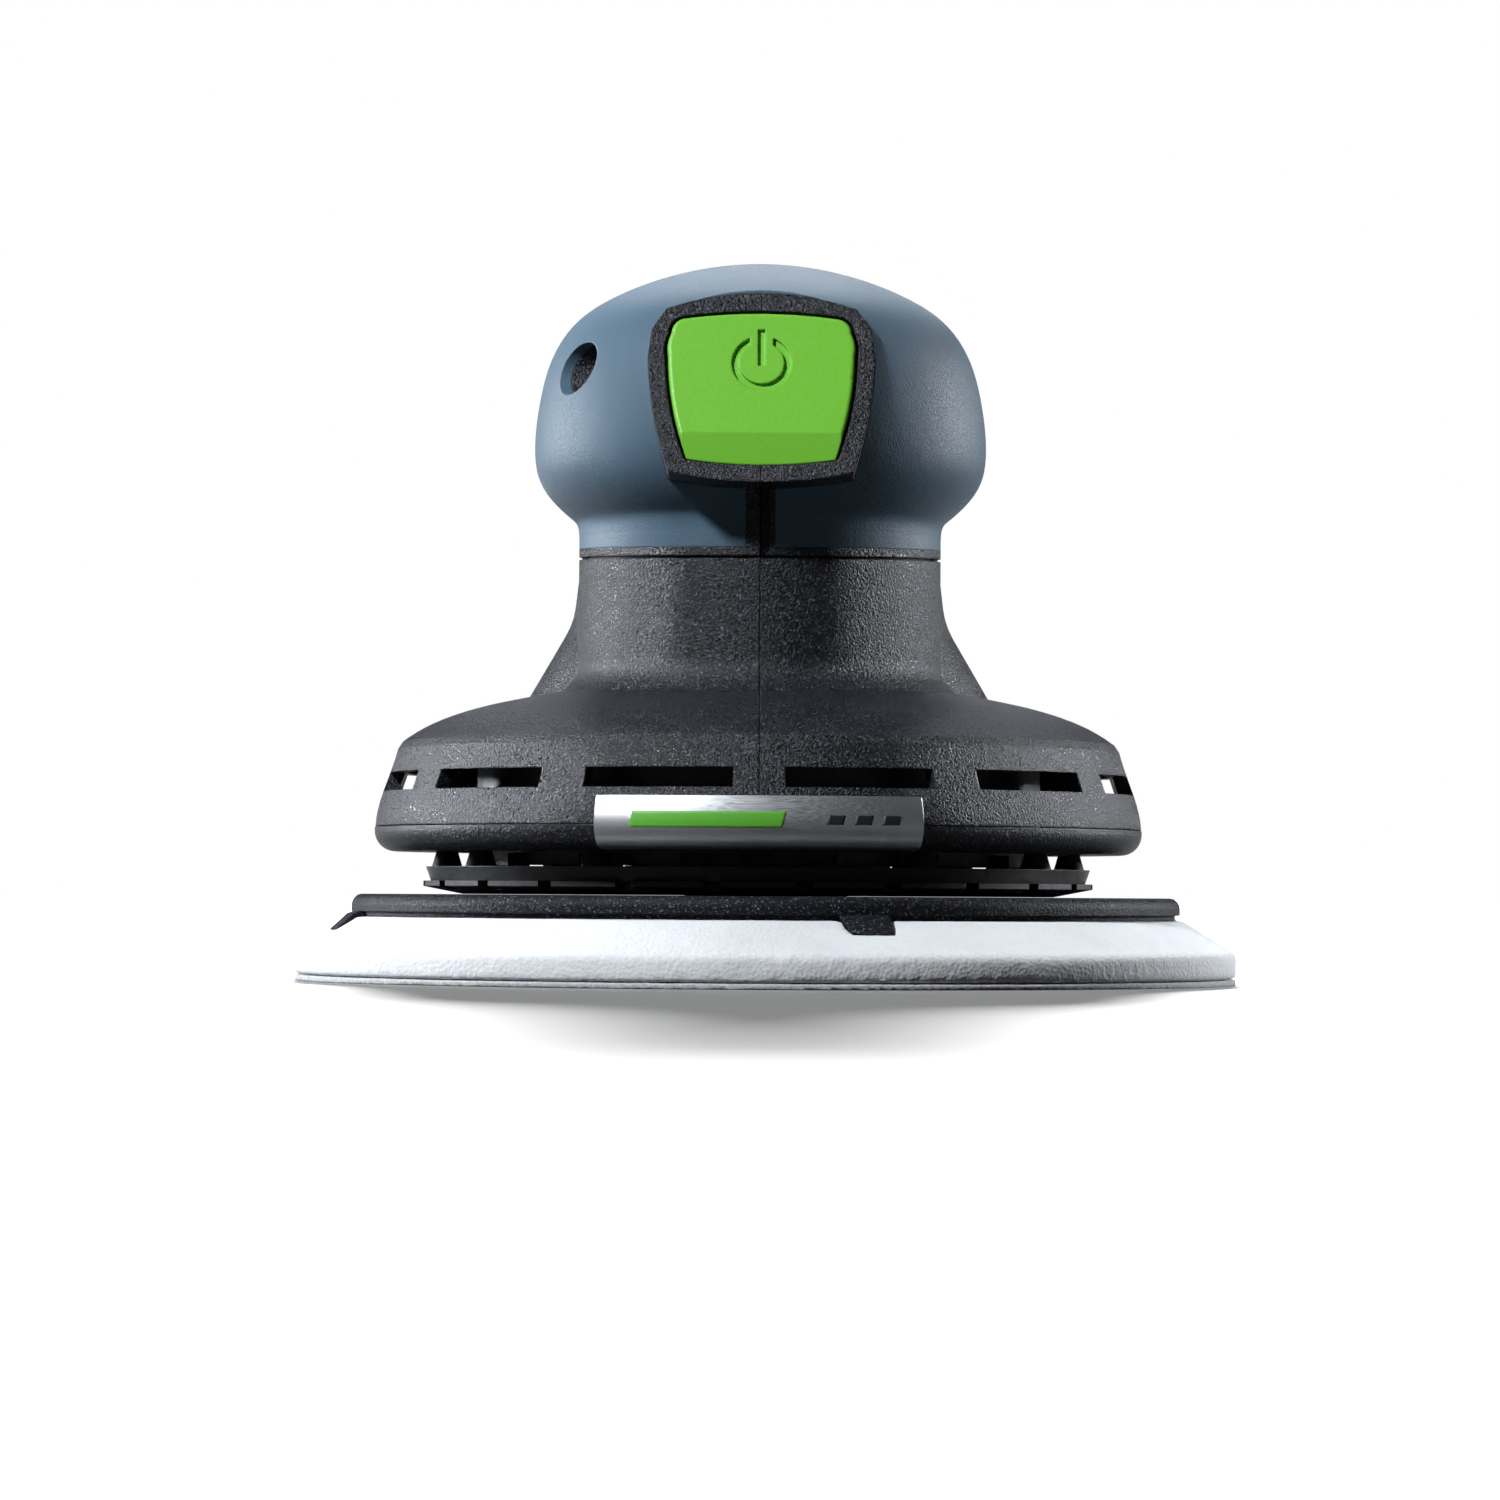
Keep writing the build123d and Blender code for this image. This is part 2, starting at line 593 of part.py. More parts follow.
def circlip():
    """The ring that keeps the pad bearing in its cup."""
    clip = ring(PAD_BEARING[1] + 0.6, 13.4, 17.35, 18.45)
    return around_ecc(clip - block((12, 18), (-1.6, 1.6), (17, 19)))


def counterweight():
    """A heavy sector opposite the crank throw."""
    half = 65
    away = degrees(ORBIT_ANGLE) + 180
    outline = [(19.5, 22.6), (36.0, 22.6), (36.0, 31.0), (19.5, 31.0)]
    return turned(outline, arc=2 * half, start=away - half)


def fan():
    """The extraction fan: dust blades below its disc and cooling blades above."""
    wheel = ring(45.0, 9.0, 33.0, 34.6)
    dust_blade = Pos(41.6, 0, 29.2) * Rot(0, 0, 32) * Box(8.4, 1.4, 8.0)
    air_blade = Pos(35.0, 0, 35.0) * Rot(0, 0, 25) * Box(11.0, 1.2, 1.2)
    dust = [blade & ring(45.0, 37.4, 25, 33.2) for blade in spread(dust_blade, 18)]
    return wheel + [*dust, *spread(air_blade, 16)]


def fan_chamber():
    """The chamber round the fan, its toothed collar and the duct to the tail."""
    inside = CHAMBER_R - CHAMBER_T
    top = FLANGE_LOW
    wall = ring(CHAMBER_R, inside, 20.8, top) + ring(CHAMBER_R, 43.0, 20.8, 22.4)
    collar = ring(45.0, 43.0, 18.3, 20.8)
    collar -= spread(block((42, 46), (-3.2, 3.2), (18.0, 20.2)), 16, start=11.25)
    middle_z = (DUCT_LOW + top) / 2

    def duct(inset):
        """The duct's outside, or its bore when inset."""
        across, tall = 2 * (DUCT_HALF_W - inset), top - DUCT_LOW - 2 * inset
        box = block((-across / 2, across / 2), (40, DUCT_STRAIGHT_END), (0, tall))
        box = Pos(0, 0, DUCT_LOW + inset) * box
        start = Plane(origin=(0, DUCT_STRAIGHT_END, middle_z), x_dir=(1, 0, 0), z_dir=(0, 1, 0))
        finish = Plane(origin=(0, PORT_START, PORT_Z), x_dir=(1, 0, 0), z_dir=(0, 1, 0))
        mouth = start * RectangleRounded(across, tall, 2.0)
        outlet = finish * Circle(PORT_R if inset == 0 else PORT_BORE_R)
        return box + loft([mouth, outlet])

    body = wall + collar + (duct(0) - disc(inside, 0, 60))
    return body - (duct(DUCT_T) - disc(inside - 2, 0, 60))


def dust_port():
    """The tube that the extraction hose pushes into."""
    tube = rod_y(PORT_R, PORT_START, PORT_END, PORT_Z) + rod_y(15.7, TAIL_END, 100.6, PORT_Z)
    tube += [rod_y(15.5, 105, 106.4, PORT_Z), rod_y(15.5, PORT_END - 3, PORT_END, PORT_Z)]
    return tube - rod_y(PORT_BORE_R, PORT_START, PORT_END, PORT_Z)


def power_inlet():
    """The round socket for a detachable lead, with two keys along its bore."""
    body = rod_y(INLET_R, TAIL_END, INLET_END, INLET_Z)
    body += rod_y(INLET_R + 1.0, INLET_START, TAIL_END + 1.0, INLET_Z)
    body -= rod_y(INLET_BORE_R, INLET_FLOOR, INLET_END, INLET_Z)
    for side in (-1, 1):
        x = sorted((side * 6.6, side * (INLET_BORE_R + 0.5)))
        body += block(x, (INLET_FLOOR, INLET_END - 3), (INLET_Z - 0.9, INLET_Z + 0.9))
        body -= rod_y(1.2, INLET_START + 8, INLET_FLOOR, INLET_Z, x=side * 3.6)
    contacts = [rod_y(1.2, INLET_START + 8, 108.0, INLET_Z, x=side * 3.6) for side in (-1, 1)]
    return body, contacts


# ---- Between the skirt and the pad -------------------------------------------------------------


def cuff_parts():
    """The hanging carrier ring, its rubber pegs and the slit rubber cuff under it."""
    carrier = turned([(45.6, 15.85), (52.3, 15.85), (53.1, CARRIER_TOP), (45.6, CARRIER_TOP)])
    aligned = (Align.CENTER, Align.CENTER, Align.MIN)
    peg = Pos(49.8, 0, CARRIER_TOP) * Cone(2.45, 1.75, RIM_LOW - CARRIER_TOP, align=aligned)
    outline = [(45.6, CUFF_LOW), (47.2, CUFF_LOW), (53.5, 15.0), (53.5, CUFF_TOP), (45.6, CUFF_TOP)]
    cuff = turned(outline) - spread(block((50.6, 55), (-1.3, 1.3), (13, 17)), 24, start=7.5)
    return carrier, spread(peg, 12), cuff


# ---- Pad ---------------------------------------------------------------------------------------

FOAM_BORE_R = 14.4
HOLE_RINGS = ((8, 32.5, 5.0, 0), (16, 46.5, 2.6, 11.25), (24, 60.0, 2.1, 0))
# Each ring of holes: count, radius of the ring, radius of a hole, first angle.


def pad_holes(low, high, rings=HOLE_RINGS):
    """The extraction holes, on the pad's own axis."""
    holes = []
    for count, radius, hole, start in rings:
        holes += spread(disc(hole, low, high, at=(radius, 0)), count, start)
    return holes


def pad_tabs():
    """The plate's four tongues, each keyed into the foam's shoulder."""
    face = Plane.XZ * make_face(Polyline((-4.3, 11), (-3.2, 8.1), (3.3, 8.1), (3.3, 11), close=True))
    bar = Pos(0, -60, 0) * extrude(face, amount=12)
    cone = turned([(60, 8.0), (69.9, 8.0), (67.0, 10.6), (66.0, 11.0), (60, 11.0)])
    tab = bar & cone
    return [from_front(angle, tab) for angle in TAB_ANGLES]


def pad_plate():
    """The stiff plate with its hub, its tongues and the dust holes."""
    edge = [
        Polyline((4.15, PLATE_HUB_TOP), (12, PLATE_HUB_TOP), (13, PLATE_TOP), (64.3, PLATE_TOP)),
        ThreePointArc((64.3, PLATE_TOP), (65.5, 13.2), (66.0, 12.0)),
        Polyline((66.0, 12.0), (66.0, 11.0), (65.2, 10.9), (65.2, PLATE_LOW), (14.2, PLATE_LOW)),
        Polyline((14.2, PLATE_LOW), (14.2, 6.0), (8.0, 6.0), (8.0, 8.5), (4.15, 8.5)),
        Line((4.15, 8.5), (4.15, PLATE_HUB_TOP)),
    ]
    plate = turned_wire(edge) + pad_tabs()
    return around_ecc(plate - pad_holes(PLATE_LOW - 5, PLATE_TOP + 1, HOLE_RINGS[:1]))


def pad_foam():
    """The foam body, with a coned shoulder and an upright lower band."""
    edge = [
        Polyline((FOAM_BORE_R, PLATE_LOW), (FOAM_BORE_R, HOOK_T), (PAD_R - 0.5, HOOK_T)),
        ThreePointArc((PAD_R - 0.5, HOOK_T), (PAD_R - 0.15, 1.15), (PAD_R, 1.5)),
        Line((PAD_R, 1.5), (PAD_R, 4.2)),
        ThreePointArc((PAD_R, 4.2), (PAD_R - 0.15, 4.8), (PAD_R - 0.6, 5.25)),
        Spline((PAD_R - 0.6, 5.25), (70.2, 7.9), (66.6, PLATE_LOW), tangents=((-1, 0.5), (-1, 0.8))),
        Line((66.6, PLATE_LOW), (FOAM_BORE_R, PLATE_LOW)),
    ]
    foam = turned_wire(edge) - pad_holes(0, PLATE_LOW) - pad_tabs()
    return around_ecc(foam)


def hook_layer():
    """The hook-and-loop face that takes the abrasive disc."""
    return around_ecc(ring(PAD_R - 0.5, FOAM_BORE_R, 0, HOOK_T) - pad_holes(0, HOOK_T))


def pad_spindle():
    """The stub that turns in the pad bearing and takes the pad's bolt."""
    stub = disc(11.0, PLATE_HUB_TOP, 17.8) + disc(7.4, 17.8, PAD_BEARING_Z) + disc(6.0, 18.6, 30.2)
    nut = ring(8.4, 6.0, 28.7, 30.2)
    bolt = disc(3.95, 8.5, 24.0) + disc(6.5, 3.6, 8.5)
    bolt -= Pos(0, 0, 3.6) * extrude(RegularPolygon(3.45, 6), amount=3.0)
    return around_ecc(stub - disc(4.0, 16.0, 26.0)), around_ecc(nut), around_ecc(bolt)


# ---- Electronics and leads ---------------------------------------------------------------------


def lead(points, radius=0.9):
    """An insulated lead along straight runs joined by tangent arcs."""
    radii = [1.6] * (len(points) - 2)
    path = FilletPolyline(*points, radius=radii)
    section = Plane(origin=path @ 0, z_dir=path % 0) * Circle(radius)
    return sweep(section, path=path)


def electronics():
    """The control board, its chips, the power module, its capacitors and the leads."""
    board = disc(20.0, 84.0, 85.6)
    chips = [
        block((-9, 1), (-4, 6), (85.6, 87.4)),
        block((5, 12), (-9, -3), (85.6, 89.0)),
        block((4, 13), (3, 9), (85.6, 87.2)),
        disc(3.0, 85.6, 91.5, at=(-8, 12)),
    ]
    module = block((-15, 15), (46.5, 64), (51, 59))
    module = fillet(module.edges().filter_by(Axis.Z), 2.0)
    cans = [disc(4.9, 59.0, 73.0, at=(side * 8.5, 53.5)) for side in (-1, 1)]
    terminal = block((-8, 8), (26.4, 31.0), (56.5, 63.0))
    motor_leads = [lead([(x, 46.5, 55), (x, 41.5, 55), (x, 36, 60), (x, 31, 60)]) for x in (-4, 0, 4)]
    inlet_leads = []
    for side in (-1, 1):
        points = [(side * 3.6, 84, 61), (side * 3.6, 81.2, 61), (side * 11.5, 79, 57.2)]
        points += [(side * 11.5, 68, 55), (side * 11.5, 64, 55)]
        inlet_leads.append(lead(points))
    return board, chips, module, cans, terminal, motor_leads, inlet_leads


# ---- Writing the parts -------------------------------------------------------------------------


def as_one(shape):
    """A shape, or a list of separate shapes, as one compound of its solids."""
    items = shape if isinstance(shape, list) else [shape]
    return Compound(children=[solid for item in items for solid in item.solids()])


def all_parts():
    """Every sub-part by its node's name."""
    plate = badge()
    grip, heads, bodies, gasket = housing_shells(plate)
    carrier, switch_body, plunger, spring = switch_parts()
    dial, dial_shaft = speed_dial()
    lower = bearing(LOWER_BEARING, LOWER_BEARING_Z, 8)
    upper = bearing(UPPER_BEARING, UPPER_BEARING_Z, 7)
    pad_inner, pad_outer, pad_balls = bearing(PAD_BEARING, PAD_BEARING_Z, 12, rows=2)
    core, coils = stator()
    shaft, rotor_core, magnets = rotor_parts()
    cuff_carrier, pegs, cuff = cuff_parts()
    inlet, contacts = power_inlet()
    spindle, nut, bolt = pad_spindle()
    board, chips, module, cans, terminal, motor_leads, inlet_leads = electronics()
    return {
        "grip_cover": grip,
        "head_shell_left": heads[0],
        "head_shell_right": heads[1],
        "body_shell_left": bodies[0],
        "body_shell_right": bodies[1],
        "seam_gasket": gasket,
        "skirt_rim": skirt_rim(plate),
        "front_plate": plate,
        "head_screws": closing_screws(HEAD_SCREWS),
        "body_screws": closing_screws(BODY_SCREWS),
        "rim_screws": rim_screws(),
        "power_button": power_button(),
        "button_spring": spring,
        "switch_carrier": carrier,
        "push_switch": switch_body,
        "switch_plunger": plunger,
        "speed_dial": dial,
        "dial_shaft": dial_shaft,
        "dial_bracket": dial_bracket(),
        "motor_flange": motor_flange(),
        "motor_top_bracket": top_bracket(),
        "stator_core": core,
        "stator_coils": coils,
        "stator_terminal": terminal,
        "motor_shaft": shaft,
        "rotor_core": rotor_core,
        "rotor_magnets": magnets,
        "lower_bearing_inner": lower[0],
        "lower_bearing_outer": lower[1],
        "lower_bearing_balls": lower[2],
        "upper_bearing_inner": upper[0],
        "upper_bearing_outer": upper[1],
        "upper_bearing_balls": upper[2],
        "eccentric_hub": eccentric_hub(),
        "hub_circlip": circlip(),
        "counterweight": counterweight(),
        "extraction_fan": fan(),
        "fan_chamber": fan_chamber(),
        "dust_port": dust_port(),
        "power_inlet": inlet,
        "inlet_contacts": contacts,
        "cuff_carrier": cuff_carrier,
        "cuff_pegs": pegs,
        "brake_cuff": cuff,
        "pad_bearing_inner": around_ecc(pad_inner),
        "pad_bearing_outer": around_ecc(pad_outer),
        "pad_bearing_balls": [around_ecc(ball) for ball in pad_balls],
        "pad_spindle": spindle,
        "spindle_nut": nut,
        "pad_bolt": bolt,
        "pad_plate": pad_plate(),
        "pad_foam": pad_foam(),
        "hook_layer": hook_layer(),
        "control_board": board,
        "board_chips": chips,
        "power_module": module,
        "capacitors": cans,
        "motor_leads": motor_leads,
        "inlet_leads": inlet_leads,
    }


os.makedirs("parts", exist_ok=True)
for node, shape in all_parts().items():
    export_step(as_one(shape), f"parts/{node}.step")
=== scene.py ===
import math

import bmesh
import bpy
from mathutils import Matrix, Vector, noise
from mathutils.bvhtree import BVHTree


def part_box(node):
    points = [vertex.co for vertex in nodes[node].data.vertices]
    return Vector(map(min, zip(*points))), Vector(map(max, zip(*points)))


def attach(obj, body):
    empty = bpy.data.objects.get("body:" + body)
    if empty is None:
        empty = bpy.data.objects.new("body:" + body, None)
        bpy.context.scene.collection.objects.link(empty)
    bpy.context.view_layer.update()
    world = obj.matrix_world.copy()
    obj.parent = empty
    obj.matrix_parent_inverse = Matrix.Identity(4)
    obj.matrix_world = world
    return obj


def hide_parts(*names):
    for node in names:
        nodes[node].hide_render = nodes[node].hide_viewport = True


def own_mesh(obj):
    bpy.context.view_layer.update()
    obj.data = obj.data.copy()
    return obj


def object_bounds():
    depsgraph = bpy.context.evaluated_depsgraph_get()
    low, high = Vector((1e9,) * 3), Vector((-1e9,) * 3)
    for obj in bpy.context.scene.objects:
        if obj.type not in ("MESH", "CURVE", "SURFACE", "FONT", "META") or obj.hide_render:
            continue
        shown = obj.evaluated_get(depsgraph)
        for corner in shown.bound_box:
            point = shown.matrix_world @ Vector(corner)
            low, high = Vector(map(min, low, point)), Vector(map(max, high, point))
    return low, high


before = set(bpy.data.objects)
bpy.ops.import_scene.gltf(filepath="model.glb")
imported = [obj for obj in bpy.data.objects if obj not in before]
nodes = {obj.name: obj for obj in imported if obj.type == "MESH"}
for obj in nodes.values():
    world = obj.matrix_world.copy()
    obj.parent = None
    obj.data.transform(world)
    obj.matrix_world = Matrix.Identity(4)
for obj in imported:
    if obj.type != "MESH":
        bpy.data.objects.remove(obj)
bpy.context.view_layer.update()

MM = 0.001

# ---- Places taken from the frame ----------------------------------------------------------------

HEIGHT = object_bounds()[1].z
dial_low, dial_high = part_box("speed_dial")
DIAL_CENTRE = (dial_low + dial_high) / 2
DIAL_R = (dial_high.y - dial_low.y) / 2


# ---- Camera -------------------------------------------------------------------------------------

SENSOR_WIDTH = 36.0  # in millimetres, as the lens is
CAMERA_AWAY = 0.850  # from the motor's axis
CAMERA_HEIGHT = 0.014
CAMERA_NEAR, CAMERA_FAR = 0.02, 20.0
FRAME_WIDTH = 0.2404  # what the picture's width takes in at the motor's axis
AIM_X, AIM_Z = -0.0014, 0.0371
ROLL = math.radians(0.35)  # the photograph leans by this much


def make_camera():
    """A long lens, almost level with the pad, looking straight at the button."""
    data = bpy.data.cameras.new("camera")
    data.sensor_width = SENSOR_WIDTH
    data.lens = SENSOR_WIDTH * CAMERA_AWAY / FRAME_WIDTH
    data.clip_start, data.clip_end = CAMERA_NEAR, CAMERA_FAR
    camera = bpy.data.objects.new("camera", data)
    bpy.context.scene.collection.objects.link(camera)
    camera.location = (AIM_X, -CAMERA_AWAY, CAMERA_HEIGHT)
    gaze = Vector((AIM_X, 0, AIM_Z)) - camera.location
    aim = gaze.to_track_quat("-Z", "Y").to_matrix()
    camera.rotation_euler = (aim @ Matrix.Rotation(ROLL, 3, "Z")).to_euler()
    bpy.context.scene.camera = camera


make_camera()


# ---- Materials ----------------------------------------------------------------------------------


UNIT = (0.0, 1.0)
SPREAD = (0.3, 0.7)  # where most of a noise texture's values lie
SLOPED = 0.2  # how far up a surface faces before it counts as facing up at all
BEVEL_SAMPLES = 4


class Graph:
    """A material's node tree, with short calls for what these materials are made of.

    Textures are scaled in features per metre, and depths and radii are in metres.
    """

    def __init__(self, name):
        self.material = bpy.data.materials.new(name)
        self.material.use_nodes = True
        self.tree = self.material.node_tree
        self.shader = self.tree.nodes["Principled BSDF"]
        self.place = self.add("ShaderNodeTexCoord").outputs["Object"]

    def add(self, kind, **values):
        """A new node, with its properties set."""
        node = self.tree.nodes.new(kind)
        for key, value in values.items():
            setattr(node, key, value)
        return node

    def link(self, source, target):
        """Joins an output to an input."""
        self.tree.links.new(source, target)

    def stretched(self, scale):
        """Object coordinates with each axis scaled, for brushed or streaked surfaces."""
        mapping = self.add("ShaderNodeMapping")
        self.link(self.place, mapping.inputs["Vector"])
        mapping.inputs["Scale"].default_value = scale
        return mapping.outputs["Vector"]

    def noise(self, scale, detail, roughness=0.55, place=None):
        """Cloudy noise, mostly within SPREAD."""
        node = self.add("ShaderNodeTexNoise")
        self.link(place or self.place, node.inputs["Vector"])
        node.inputs["Scale"].default_value = scale
        node.inputs["Detail"].default_value = detail
        node.inputs["Roughness"].default_value = roughness
        return node.outputs["Fac"]

    def cells(self, scale):
        """The distance from the middles of small cells, for pits and pores."""
        node = self.add("ShaderNodeTexVoronoi")
        self.link(self.place, node.inputs["Vector"])
        node.inputs["Scale"].default_value = scale
        return node.outputs["Distance"]

    def remap(self, value, span, to):
        """A value taken from one span to another, and held at its ends."""
        node = self.add("ShaderNodeMapRange")
        self.link(value, node.inputs["Value"])
        node.inputs["From Min"].default_value, node.inputs["From Max"].default_value = span
        node.inputs["To Min"].default_value, node.inputs["To Max"].default_value = to
        return node.outputs["Result"]

    def times(self, a, b):
        """The product of an output and either a number or another output."""
        node = self.add("ShaderNodeMath", operation="MULTIPLY")
        self.link(a, node.inputs[0])
        if isinstance(b, float):
            node.inputs[1].default_value = b
        else:
            self.link(b, node.inputs[1])
        return node.outputs["Value"]

    def mix(self, amount, first, second):
        """A colour between two, each a tuple or another node's output."""
        node = self.add("ShaderNodeMix", data_type="RGBA")
        self.link(amount, node.inputs["Factor"])
        color_inputs = [socket for socket in node.inputs if socket.type == "RGBA"]
        for value, socket in zip((first, second), color_inputs):
            if isinstance(value, tuple):
                socket.default_value = (*value, 1.0)
            else:
                self.link(value, socket)
        return next(socket for socket in node.outputs if socket.type == "RGBA")

    def facing_up(self):
        """1 where the surface faces up, 0 where it is upright or faces down."""
        geometry = self.add("ShaderNodeNewGeometry")
        split = self.add("ShaderNodeSeparateXYZ")
        self.link(geometry.outputs["Normal"], split.inputs["Vector"])
        return self.remap(split.outputs["Z"], (SLOPED, 1.0), UNIT)

    def relief(self, layers, edge=0.0):
        """Bump from (height, depth) layers, over edges softened to a radius."""
        normal = None
        if edge:
            rounded = self.add("ShaderNodeBevel", samples=BEVEL_SAMPLES)
            rounded.inputs["Radius"].default_value = edge
            normal = rounded.outputs["Normal"]
        for height, depth in layers:
            bump = self.add("ShaderNodeBump")
            bump.inputs["Distance"].default_value = depth
            self.link(height, bump.inputs["Height"])
            if normal:
                self.link(normal, bump.inputs["Normal"])
            normal = bump.outputs["Normal"]
        self.link(normal, self.shader.inputs["Normal"])

    def set(self, **values):
        """Sets the shader's own sockets, named with underscores for spaces."""
        for key, value in values.items():
            self.shader.inputs[key.replace("_", " ")].default_value = value


def shade(color, factor):
    """A colour made darker or lighter."""
    return tuple(min(1.0, channel * factor) for channel in color)


def plain(
    name, color, rough, metallic=0.0, grain=900.0, depth=0.03 * MM, vary=0.18, edge=0.2 * MM
):
    """A general surface: drifting colour, uneven gloss and a fine relief."""
    g = Graph(name)
    drift = g.noise(70.0, detail=4.0)
    fine = g.noise(grain, detail=4.0)
    tone = g.mix(drift, shade(color, 1 - vary), shade(color, 1 + vary))
    g.link(tone, g.shader.inputs["Base Color"])
    g.link(g.remap(fine, SPREAD, (rough - 0.08, rough + 0.1)), g.shader.inputs["Roughness"])
    g.relief([(fine, depth)], edge)
    g.set(Metallic=metallic)
    return g.material


def soft_touch(name, color):
    """The grip's rubbery skin: a very fine stipple, with a painted highlight in patches on the
    faces that point up.
    """
    g = Graph(name)
    # painted highlight: patches of the faces that point up are lightened, as if lit from above
    highlight_patches = g.remap(g.noise(38.0, detail=5.0), (0.46, 0.68), UNIT)
    painted_top_highlight = g.times(highlight_patches, g.facing_up())
    stipple = g.noise(3400.0, detail=2.0)
    waves = g.noise(260.0, detail=3.0)
    tone = g.mix(g.noise(110.0, detail=5.0), shade(color, 0.86), shade(color, 1.12))
    tone = g.mix(g.remap(stipple, (0.35, 0.7), (0.0, 0.35)), tone, shade(color, 1.35))
    # the painted highlight: the same slate, much paler, on those upward patches
    tone = g.mix(g.times(painted_top_highlight, 0.35), tone, shade(color, 1.7))
    g.link(tone, g.shader.inputs["Base Color"])
    g.link(g.remap(stipple, SPREAD, (0.48, 0.66)), g.shader.inputs["Roughness"])
    g.relief([(waves, 0.05 * MM), (stipple, 0.06 * MM)], 0.35 * MM)
    g.set(Sheen_Weight=0.1, Sheen_Roughness=0.5, Specular_IOR_Level=0.35)
    return g.material


# painted glint: the pale bluish colour put on the grain's highest peaks, as if they caught a lamp
PAINTED_GLINT = (0.15, 0.16, 0.20)
DUST = (0.04, 0.04, 0.044)


def grained(name, color, depth, gloss, shine, edge=0.4 * MM):
    """Hard black plastic from a spark-eroded mould: it glitters as the grain turns, partly from its
    relief and partly from glints painted into its colour at the grain's peaks.
    """
    g = Graph(name)
    pits = g.cells(2900.0)
    coarse = g.noise(2500.0, detail=2.0, roughness=0.7)
    bumps = g.remap(coarse, (0.36, 0.64), UNIT)
    scuffs = g.remap(g.noise(160.0, detail=6.0, roughness=0.7), (0.6, 0.75), UNIT)
    dust = g.times(g.times(scuffs, g.facing_up()), 0.25)
    tone = g.mix(g.remap(coarse, (0.35, 0.65), UNIT), shade(color, 0.5), shade(color, 1.5))
    # painted glints: the grain's highest peaks lightened towards a pale bluish grey
    tone = g.mix(g.remap(coarse, (0.59, 0.70), UNIT), tone, PAINTED_GLINT)
    tone = g.mix(dust, tone, DUST)
    g.link(tone, g.shader.inputs["Base Color"])
    g.link(g.remap(coarse, SPREAD, (gloss - 0.1, gloss + 0.14)), g.shader.inputs["Roughness"])
    g.relief([(bumps, depth), (pits, depth * 0.6)], edge)
    g.set(Specular_IOR_Level=shine)
    return g.material


def brushed(name, color, scale, rough):
    """Metal with a one-way brushed finish."""
    g = Graph(name)
    streaks = g.noise(1.0, detail=4.0, roughness=0.6, place=g.stretched(scale))
    g.link(g.mix(streaks, shade(color, 0.78), shade(color, 1.12)), g.shader.inputs["Base Color"])
    g.link(g.remap(streaks, SPREAD, (rough - 0.08, rough + 0.14)), g.shader.inputs["Roughness"])
    g.relief([(streaks, 0.012 * MM)], 0.25 * MM)
    g.set(Metallic=1.0)
    return g.material


def foamed(name, color):
    """Closed-cell foam: pores with painted shade in them, a dusty unevenness and a little light
    through it.
    """
    g = Graph(name)
    pores = g.cells(1700.0)
    lumps = g.noise(420.0, detail=4.0)
    dirt = g.remap(g.noise(46.0, detail=6.0, roughness=0.65), (0.5, 0.75), (0.0, 0.5))
    # painted shade: the colour darkens towards each pore's middle, where shade falls in the hollow
    tone = g.mix(g.remap(pores, (0.0, 0.35), (0.0, 0.5)), shade(color, 0.78), color)
    tone = g.mix(dirt, tone, shade(color, 0.72))
    g.link(tone, g.shader.inputs["Base Color"])
    g.link(g.remap(lumps, SPREAD, (0.72, 0.92)), g.shader.inputs["Roughness"])
    g.relief([(lumps, 0.06 * MM), (pores, 0.07 * MM)])
    g.set(Specular_IOR_Level=0.3, Subsurface_Weight=0.08, Subsurface_Scale=0.002)
    return g.material


def hooked(name, color):
    """The hook tape under the pad: rows of short stiff loops."""
    g = Graph(name)
    rows = g.noise(1.0, detail=2.0, roughness=0.5, place=g.stretched((1900.0, 1200.0, 1900.0)))
    tone = g.mix(g.remap(rows, (0.35, 0.65), UNIT), shade(color, 0.8), shade(color, 1.1))
    g.link(tone, g.shader.inputs["Base Color"])
    g.relief([(rows, 0.12 * MM)])
    g.set(Roughness=0.9, Sheen_Weight=0.4)
    return g.material


def windings(name, color):
    """Enamelled copper wire, laid in turns up and down the teeth."""
    g = Graph(name)
    turns = g.noise(1.0, detail=1.0, roughness=0.4, place=g.stretched((2600.0, 2600.0, 90.0)))
    g.link(g.mix(turns, shade(color, 0.5), shade(color, 1.3)), g.shader.inputs["Base Color"])
    g.relief([(turns, 0.2 * MM)])
    g.set(Metallic=0.7, Roughness=0.3, Coat_Weight=0.5, Coat_Roughness=0.2)
    return g.material


def printed(name, color, rough, vary):
    """Screen-printed ink, with sharp edges."""
    return plain(name, color, rough, grain=2500.0, depth=0.005 * MM, vary=vary, edge=0)


BLACK = (0.0085, 0.009, 0.012)
SILVER = (0.62, 0.63, 0.64)
GREEN = (0.16, 0.50, 0.028)
SLATE = (0.048, 0.094, 0.134)

